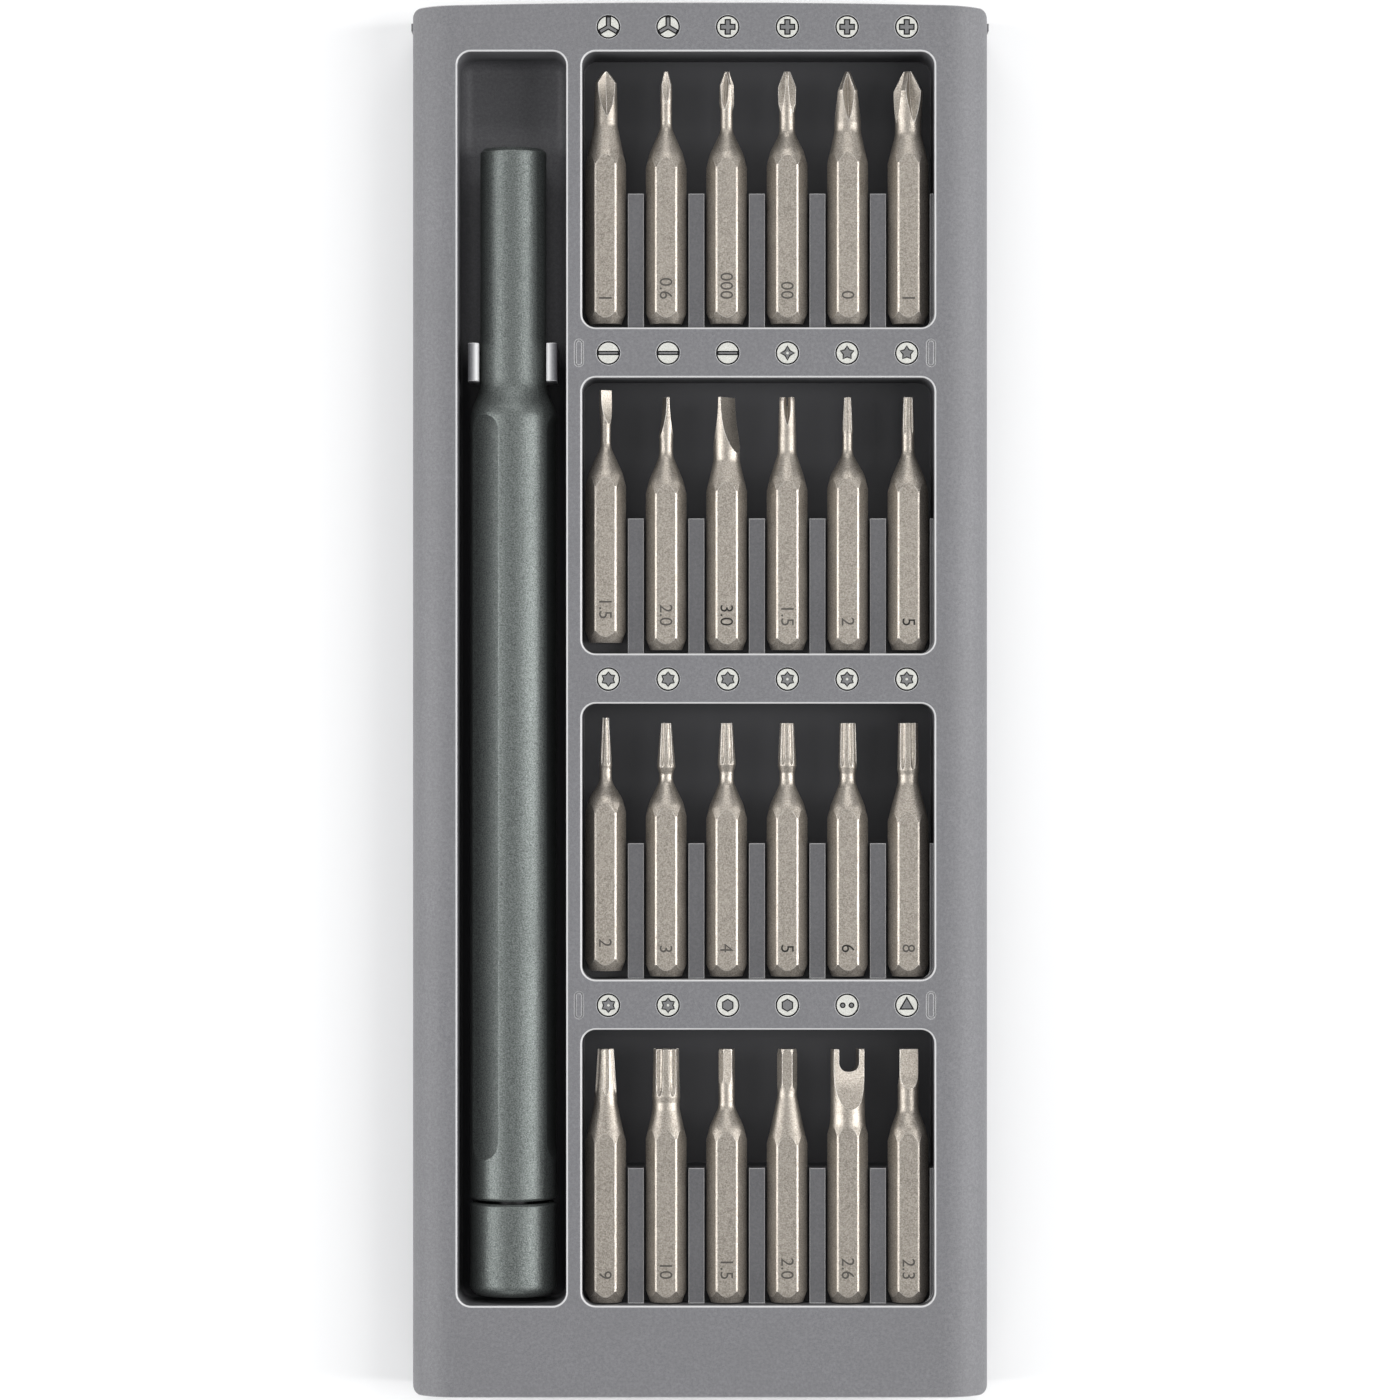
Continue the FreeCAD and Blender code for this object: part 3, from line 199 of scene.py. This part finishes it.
class Nodes:
    """A node material in the making, with its textures in the object's own coordinates."""

    def __init__(self, name):
        self.material = bpy.data.materials.new(name)
        self.material.use_nodes = True
        self.tree = self.material.node_tree
        self.tree.nodes.clear()
        self.place = self.add("ShaderNodeTexCoord").outputs["Object"]

    def add(self, kind, **inputs):
        """A new node of this kind; each keyword sets the input of that name, with _ for a space."""
        node = self.tree.nodes.new(kind)
        for name, value in inputs.items():
            self.put(node.inputs[name.replace("_", " ")], value)
        return node

    def put(self, socket, value):
        if isinstance(value, bpy.types.NodeSocket):
            self.tree.links.new(value, socket)
        else:
            socket.default_value = value

    def noise(self, scale, detail, rough=0.5):
        """Noise with features about 1 / scale metres across."""
        node = self.add("ShaderNodeTexNoise", Vector=self.place, Scale=scale, Detail=detail, Roughness=rough)
        return node.outputs["Fac"]

    def axes(self, vector):
        return self.add("ShaderNodeSeparateXYZ", Vector=vector).outputs

    def facing(self):
        return self.add("ShaderNodeNewGeometry").outputs["Normal"]

    def spread(self, value, low, high, new_low, new_high):
        node = self.add("ShaderNodeMapRange", Value=value, From_Min=low, From_Max=high, To_Min=new_low,
                        To_Max=new_high)
        return node.outputs["Result"]

    def fade(self, value, start, end, most=1.0):
        """A mask that is 0 where value is start and rises to most where it is end."""
        return self.spread(value, start, end, 0.0, most)

    def ramp(self, value, *stops):
        node = self.add("ShaderNodeValToRGB", Fac=value)
        for element, (position, colour) in zip(node.color_ramp.elements, stops):
            element.position = position
            element.color = (*colour, 1)
        return node.outputs["Color"]

    def mix(self, factor, first, second):
        node = self.tree.nodes.new("ShaderNodeMix")
        node.data_type = "RGBA"
        self.put(node.inputs[0], factor)
        self.put(node.inputs[6], first)
        self.put(node.inputs[7], (*second, 1))
        return node.outputs[2]

    def maths(self, operation, first, second=0.0):
        node = self.tree.nodes.new("ShaderNodeMath")
        node.operation = operation
        self.put(node.inputs[0], first)
        self.put(node.inputs[1], second)
        return node.outputs[0]

    def times(self, *factors):
        product = factors[0]
        for factor in factors[1:]:
            product = self.maths("MULTIPLY", product, factor)
        return product

    def soft_edges(self, radius, flat=0.995, sharp=0.9):
        """The surface's normal as if its edges were rounded, and a mask that is 1 on those edges."""
        bevel = self.add("ShaderNodeBevel", Radius=radius)
        bevel.samples = 6
        agree = self.tree.nodes.new("ShaderNodeVectorMath")
        agree.operation = "DOT_PRODUCT"
        self.put(agree.inputs[0], bevel.outputs["Normal"])
        self.put(agree.inputs[1], self.facing())
        return bevel.outputs["Normal"], self.fade(agree.outputs["Value"], flat, sharp)

    def shader(self, colour, roughness, height, strength, distance, normal=None, **inputs):
        """A shader with its grain as a bump of this strength and distance on the given normal."""
        bump = self.add("ShaderNodeBump", Height=height, Strength=strength, Distance=distance)
        if normal is not None:
            self.put(bump.inputs["Normal"], normal)
        return self.add("ShaderNodeBsdfPrincipled", Base_Color=colour, Roughness=roughness,
                        Normal=bump.outputs["Normal"], **inputs)

    def finish(self, shader):
        output = self.tree.nodes.new("ShaderNodeOutputMaterial")
        self.tree.links.new(shader.outputs["BSDF"], output.inputs["Surface"])
        return self.material


def scaled(colour, factor):
    return tuple(factor * part for part in colour)


def grained_plastic(name, dark, light, worn_highlit_edge, roughness=0.5, core_shade_part=None, highlit_x=None):
    """Fine spark-eroded grain with a faint mottle, and edges painted lighter as wear and as painted
    highlights.

    With a depth share given, the tray's cores get painted shade, darker with depth, down to this part of the
    dark colour. With an X given for highlights, the faces close to this X get a painted highlight.
    """
    tree = Nodes(name)
    grain = tree.noise(9000, 3, 0.6)
    speckle = tree.noise(3200, 2, 0.6)
    mottle = tree.noise(160, 3)
    cloud = tree.noise(30, 2)
    normal, worn_and_highlit = tree.soft_edges(0.00018)
    colour = tree.ramp(grain, (0.3, dark), (0.7, light))
    colour = tree.mix(tree.fade(speckle, 0.4, 0.72, 0.55), colour, scaled(light, 1.25))
    colour = tree.mix(tree.fade(mottle, 0.3, 0.7, 0.3), colour, scaled(light, 0.78))
    worn_and_highlit = tree.times(worn_and_highlit, tree.spread(cloud, 0.35, 0.65, 0.5, 0.8))
    if core_shade_part is not None:
        colour, worn_and_highlit = paint_core_shade_and_rim_highlights(tree, colour, worn_and_highlit, mottle, scaled(dark, core_shade_part))
    # Painted highlight on the faces near this X: the inner edges of the clip's fingers.
    if highlit_x is not None:
        away = tree.maths("ABSOLUTE", tree.maths("SUBTRACT", tree.axes(tree.place)["X"], highlit_x))
        worn_and_highlit = tree.maths("MAXIMUM", worn_and_highlit, tree.fade(away, *FINGER_HIGHLIGHT_REACH, 0.6))
    colour = tree.mix(worn_and_highlit, colour, worn_highlit_edge)
    roughness = tree.spread(cloud, 0.3, 0.7, roughness - 0.05, roughness + 0.06)
    return tree.finish(tree.shader(colour, roughness, grain, 0.3, 0.00003, normal, Specular_IOR_Level=0.4))


def paint_core_shade_and_rim_highlights(tree, colour, worn_and_highlit, mottle, core_shade_colour):
    """Paint shade into the tray's cores, darker with depth, and paint highlights on the small rounded rims of
    its openings.

    The driver pocket's walls and its floor at the nose end get less of the painted shade, and edges deep down
    get no wear or painted highlight.
    Returns the new colour and the new mask of the worn and painted-highlight edges.
    """
    x, y, z = tree.axes(tree.place)
    tilt = tree.axes(tree.facing())["Z"]
    across = tree.maths("ABSOLUTE", x)
    along = tree.maths("ABSOLUTE", y)
    height = tree.maths("ADD", z, tree.spread(mottle, 0.3, 0.7, -MOTTLED_HEIGHT, MOTTLED_HEIGHT))
    core_shade = tree.times(tree.fade(across, *CORES_ACROSS), tree.fade(along, *CORES_ALONG),
                      tree.fade(height, *CORES_HEIGHT))
    pale = tree.maths("MAXIMUM", tree.fade(tilt, *WALL_FACES, 0.8), tree.fade(y, *POCKET_NOSE_Y, 0.85))
    pale = tree.times(tree.fade(x, *POCKET_X), pale)
    core_shade = tree.times(core_shade, tree.spread(pale, 0.0, 1.0, 1.0, 0.0))
    rim_highlight = tree.times(tree.fade(tilt, *RIM_BELOW_TOP_FACES), tree.fade(tilt, *RIM_ABOVE_WALL_FACES),
                     tree.fade(across, *RIM_ACROSS), tree.fade(z, *RIM_HEIGHT, 0.85))
    worn_and_highlit = tree.times(worn_and_highlit, tree.fade(height, *WORN_HIGHLIT_EDGES_HEIGHT))
    return tree.mix(core_shade, colour, core_shade_colour), tree.maths("MAXIMUM", worn_and_highlit, rim_highlight)


def anodised_aluminium(name, dark, light, worn_highlit_edge, roughness=0.41):
    """Bead-blasted and dyed aluminium: a fine sparkle over a satin metal, its edges painted brighter as wear
    and as painted highlights.
    """
    tree = Nodes(name)
    blast = tree.noise(6500, 2, 0.7)
    drift = tree.noise(60, 2)
    normal, worn_and_highlit = tree.soft_edges(0.00016, 0.96, 0.85)
    colour = tree.ramp(blast, (0.3, dark), (0.72, light))
    colour = tree.mix(tree.times(worn_and_highlit, tree.spread(drift, 0.35, 0.65, 0.4, 0.8)), colour, worn_highlit_edge)
    roughness = tree.spread(drift, 0.3, 0.7, roughness - 0.03, roughness + 0.04)
    return tree.finish(tree.shader(colour, roughness, blast, 0.8, 0.00004, normal, Metallic=0.75))


def plated_steel(name, dark, light, worn_highlit_edge, roughness=0.4):
    """Satin nickel plate with a fine etched grain, faint stains, and edges painted bright as wear and as
    painted highlights.
    """
    tree = Nodes(name)
    etch = tree.noise(6500, 3, 0.65)
    stain = tree.noise(350, 4, 0.6)
    normal, worn_and_highlit = tree.soft_edges(0.00007, 0.998, 0.95)
    colour = tree.ramp(etch, (0.3, dark), (0.7, light))
    colour = tree.mix(tree.fade(stain, 0.45, 0.75, 0.35), colour, scaled(light, 0.74))
    colour = tree.mix(tree.times(worn_and_highlit, tree.spread(stain, 0.3, 0.6, 1.0, 0.6)), colour, worn_highlit_edge)
    roughness = tree.spread(stain, 0.3, 0.7, roughness - 0.04, roughness + 0.06)
    return tree.finish(tree.shader(colour, roughness, etch, 0.6, 0.00003, normal, Metallic=0.9))


def printed_ink(name, dark, light, roughness=0.45, specular=0.5):
    """A thin screen print with slightly uneven cover."""
    tree = Nodes(name)
    speckle = tree.noise(12000, 3, 0.6)
    cover = tree.noise(1500, 3)
    colour = tree.ramp(speckle, (0.3, dark), (0.7, light))
    colour = tree.mix(tree.fade(cover, 0.35, 0.7, 0.25), colour, scaled(dark, 0.8))
    roughness = tree.spread(cover, 0.3, 0.7, roughness - 0.05, roughness + 0.08)
    return tree.finish(tree.shader(colour, roughness, speckle, 0.3, 0.00001, Specular_IOR_Level=specular))


def paint_nodes():
    """Give every CAD node the material of its slot in the record."""
    low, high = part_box("neck_clip")
    green = ((0.06, 0.068, 0.065), (0.215, 0.235, 0.226), (0.5, 0.52, 0.51))
    # Dark steel for the hidden parts and balls: its darkness is painted shade for the gap at the cap.
    steel = plated_steel("gap_shade_steel", (0.03, 0.03, 0.032), (0.08, 0.08, 0.082), (0.2, 0.2, 0.2))
    materials = {
        # The tray's cores get painted shade, down to 0.38 of its dark colour.
        "tray_plastic": grained_plastic("tray_grey", (0.115, 0.115, 0.125), (0.185, 0.184, 0.192),
                                        (0.72, 0.72, 0.72), core_shade_part=0.38),
        "cover_plastic": grained_plastic("cover_grey", (0.15, 0.15, 0.16), (0.19, 0.19, 0.2),
                                         (0.3, 0.3, 0.3)),
        # The clip's fingers get a painted highlight along their inner edges.
        "clip_plastic": grained_plastic("clip_grey", (0.13, 0.13, 0.14), (0.19, 0.19, 0.2),
                                        (0.95, 0.95, 0.95), 0.3, highlit_x=(low.x + high.x) / 2),
        "barrel_anodised": anodised_aluminium("barrel_green_grey", *green),
        "cap_anodised": anodised_aluminium("cap_green_grey", *green, 0.43),
        "bit_steel": plated_steel("bit_nickel", (0.2, 0.178, 0.15), (0.56, 0.51, 0.45), (0.98, 0.96, 0.92)),
        "hidden_steel": steel,
        "ball_steel": steel,
        "magnet_nickel": plated_steel("magnet_plate", (0.6, 0.59, 0.56), (0.72, 0.71, 0.68),
                                      (0.9, 0.9, 0.88), 0.2),
    }
    for subpart in frame["record"]["subparts"]:
        for slot in NODES[subpart["node"]].material_slots:
            slot.material = materials[subpart["material_slot"]]


# The outlines of the signs, in millimetres around their middle

def ring_points(count, radius, middle=(0.0, 0.0)):
    """Points evenly around a circle, the first one straight up."""
    angles = [math.radians(90 + 360 * index / count) for index in range(count)]
    return [(middle[0] + radius * math.cos(angle), middle[1] + radius * math.sin(angle)) for angle in angles]


def bar(reach, half):
    return [(-reach, -half), (reach, -half), (reach, half), (-reach, half)]


def arms(count, reach, half):
    """Straight arms of equal width around the middle, the first one upwards."""
    points = []
    inner_corners = half / math.sin(math.pi / count)
    for index in range(count):
        angle = math.radians(90 + 360 * index / count)
        along = Vector((math.cos(angle), math.sin(angle)))
        across = Vector((-along.y, along.x))
        between = angle + math.pi / count
        points.append(tuple(along * reach - across * half))
        points.append(tuple(along * reach + across * half))
        points.append((inner_corners * math.cos(between), inner_corners * math.sin(between)))
    return points


def star(count, outer, inner):
    points = []
    for index in range(count):
        for radius, step in ((outer, 0.0), (inner, 0.5)):
            angle = math.radians(90 + 360 * (index + step) / count)
            points.append((radius * math.cos(angle), radius * math.sin(angle)))
    return points


def sign_outlines(kind, grow):
    """The closed outlines of one sign, grown all round by grow."""
    if kind == "tri_wing":
        return [arms(3, 1.02 + grow, 0.14 + grow)]
    if kind == "cross":
        return [arms(4, 0.72 + grow, 0.2 + grow)]
    if kind == "bar":
        return [bar(1.02 + grow, 0.09 + grow)]
    if kind == "small_cross":
        return [star(4, 0.7 + grow, 0.3 + grow)]
    if kind == "five_star":
        return [star(5, 0.7 + grow, 0.36 + grow)]
    if kind in ("six_star", "six_star_pin"):
        return [star(6, 0.72 + grow, 0.45 + grow)]
    if kind == "hexagon":
        return [ring_points(6, 0.58 + grow)]
    if kind == "triangle":
        return [ring_points(3, 0.68 + 2 * grow)]
    return [ring_points(20, 0.17 + grow, (side, 0.0)) for side in (-0.48, 0.48)]


# Printed signs and etched sizes

def add_prism(mesh, outline, middle, low, high):
    """Add a closed flat plate to the mesh, from millimetres."""
    rings = []
    for height in (low, high):
        rings.append([mesh.verts.new((MM * (middle[0] + x), MM * (middle[1] + y), MM * height))
                      for x, y in outline])
    bottom, top = rings
    mesh.faces.new(list(reversed(bottom)))
    mesh.faces.new(top)
    for index in range(len(outline)):
        following = (index + 1) % len(outline)
        mesh.faces.new((bottom[index], bottom[following], top[following], top[index]))


def add_piece(name, mesh, body, material):
    data = bpy.data.meshes.new(name)
    mesh.to_mesh(data)
    mesh.free()
    piece = bpy.data.objects.new(name, data)
    bpy.context.scene.collection.objects.link(piece)
    data.materials.append(material)
    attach(piece, body)


def make_signs():
    """A pale disc above each bit, with the outline of the screw that it fits, on a dark ring of painted
    shadow.
    """
    meshes = {name: bmesh.new() for name in SIGN_LAYERS}
    for index, (_, kind, _) in enumerate(BITS):
        row, column = divmod(index, BITS_PER_ROW)
        middle = (SIGN_X + SIGN_PITCH * column, SIGN_Y - ROW_PITCH * row)
        plates = [("sign_shadow_rings", ring_points(64, SHADOW_RING_RADIUS)), ("sign_discs", ring_points(64, DISC_RADIUS))]
        plates += [("sign_outlines", outline) for outline in sign_outlines(kind, OUTLINE)]
        plates += [("sign_symbols", outline) for outline in sign_outlines(kind, 0.0)]
        if kind in DOTTED_SIGNS:
            plates.append(("sign_dots", ring_points(24, DOT_RADIUS)))
        for name, outline in plates:
            add_prism(meshes[name], outline, middle, *SIGN_LAYERS[name])
    white = printed_ink("sign_white", (0.4, 0.4, 0.37), (0.74, 0.74, 0.69))
    ring_shadow_and_ink = printed_ink("sign_ink_and_ring_shadow", (0.005, 0.005, 0.006), (0.014, 0.014, 0.014), 0.7, 0.12)
    grey = printed_ink("sign_grey", (0.12, 0.12, 0.125), (0.2, 0.2, 0.2), 0.5, 0.3)
    # The dark ink also serves as painted shadow for the rings around the discs.
    for name, material in zip(SIGN_LAYERS, (ring_shadow_and_ink, white, ring_shadow_and_ink, grey, white)):
        add_piece(name, meshes[name], "tray", material)


def text_mesh(name, text):
    """The text as a mesh in its own units."""
    curve = bpy.data.curves.new(name, "FONT")
    curve.body = text
    curve.extrude = TEXT_EXTRUSION
    writing = bpy.data.objects.new(name, curve)
    bpy.context.scene.collection.objects.link(writing)
    bpy.context.view_layer.update()
    data = bpy.data.meshes.new_from_object(writing)
    bpy.data.objects.remove(writing)
    mesh = bmesh.new()
    mesh.from_mesh(data)
    bpy.data.meshes.remove(data)
    return mesh


def make_size_marks():
    """The size number etched on each shank, read from the tip towards the tail."""
    dark = printed_ink("etch_dark", (0.012, 0.011, 0.01), (0.04, 0.037, 0.033), 0.5, 0.2)
    pale = printed_ink("etch_pale", (0.04, 0.035, 0.03), (0.1, 0.09, 0.077))
    for node, _, size in BITS:
        low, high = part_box(node)
        mesh = text_mesh(f"size_{node}", size)
        right = max(vertex.co.x for vertex in mesh.verts)
        bottom = min(vertex.co.y for vertex in mesh.verts)
        top = max(vertex.co.y for vertex in mesh.verts)
        scale = MARK_HEIGHT * MM / (top - bottom)
        for vertex in mesh.verts:
            along = (vertex.co.x - right) * scale
            across = (vertex.co.y - (bottom + top) / 2) * scale
            level = MARK_LEVEL * MM + vertex.co.z / TEXT_EXTRUSION * MARK_HALF_THICKNESS * MM
            vertex.co = ((low.x + high.x) / 2 + across, low.y + MARK_END_GAP * MM - along, high.z + level)
        bmesh.ops.remove_doubles(mesh, verts=mesh.verts, dist=1e-6)
        add_piece(f"size_mark_{node[4:]}", mesh, node, dark if node in DARKER_MARKS else pale)


make_camera()
make_floor()
make_lights()
paint_nodes()
make_signs()
make_size_marks()
